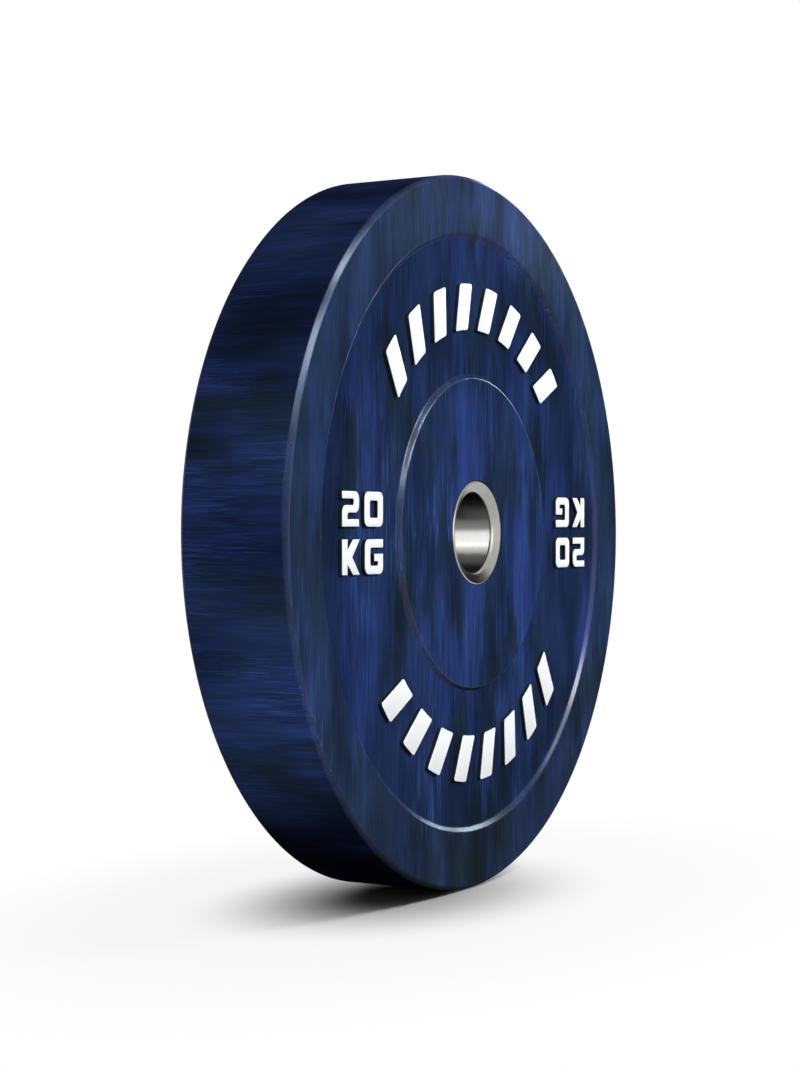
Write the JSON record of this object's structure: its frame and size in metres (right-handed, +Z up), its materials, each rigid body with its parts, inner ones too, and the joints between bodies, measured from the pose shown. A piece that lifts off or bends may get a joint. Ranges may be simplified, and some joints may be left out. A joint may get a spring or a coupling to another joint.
{
  "type": "bumper plate",
  "caption": "Round rubber bumper plate with a bevelled rim, a shallow recessed web, a raised centre boss and a steel hub sleeve with a wide lead-in, standing upright on its rim.",
  "frame": {"origin": "the middle of the bore, halfway between the two faces", "axes": "+Y along the bore axis from the front face to the back face, +Z up, +X to the right seen from the front face"},
  "size_m": [0.4498, 0.0742, 0.4498],
  "materials": {
    "streaked_rubber": "satin moulded rubber, navy streaked with royal blue and dark patches",
    "stainless_steel": "fine turned satin with a polished corner at the bore",
    "plain_steel": "rolled plate, hidden in the rubber",
    "white_rubber": "matt white face on dark sides"
  },
  "bodies": {
    "root": {"rubber_body": "streaked_rubber", "hub_sleeve": "stainless_steel", "anchor_plate": "plain_steel", "inlay_front_upper_1": "white_rubber", "inlay_front_upper_2": "white_rubber", "inlay_front_upper_3": "white_rubber", "inlay_front_upper_4": "white_rubber", "inlay_front_upper_5": "white_rubber", "inlay_front_upper_6": "white_rubber", "inlay_front_upper_7": "white_rubber", "inlay_front_upper_8": "white_rubber", "inlay_front_lower_1": "white_rubber", "inlay_front_lower_2": "white_rubber", "inlay_front_lower_3": "white_rubber", "inlay_front_lower_4": "white_rubber", "inlay_front_lower_5": "white_rubber", "inlay_front_lower_6": "white_rubber", "inlay_front_lower_7": "white_rubber", "inlay_front_lower_8": "white_rubber", "inlay_back_upper_1": "white_rubber", "inlay_back_upper_2": "white_rubber", "inlay_back_upper_3": "white_rubber", "inlay_back_upper_4": "white_rubber", "inlay_back_upper_5": "white_rubber", "inlay_back_upper_6": "white_rubber", "inlay_back_upper_7": "white_rubber", "inlay_back_upper_8": "white_rubber", "inlay_back_lower_1": "white_rubber", "inlay_back_lower_2": "white_rubber", "inlay_back_lower_3": "white_rubber", "inlay_back_lower_4": "white_rubber", "inlay_back_lower_5": "white_rubber", "inlay_back_lower_6": "white_rubber", "inlay_back_lower_7": "white_rubber", "inlay_back_lower_8": "white_rubber"}
  },
  "joints": []
}
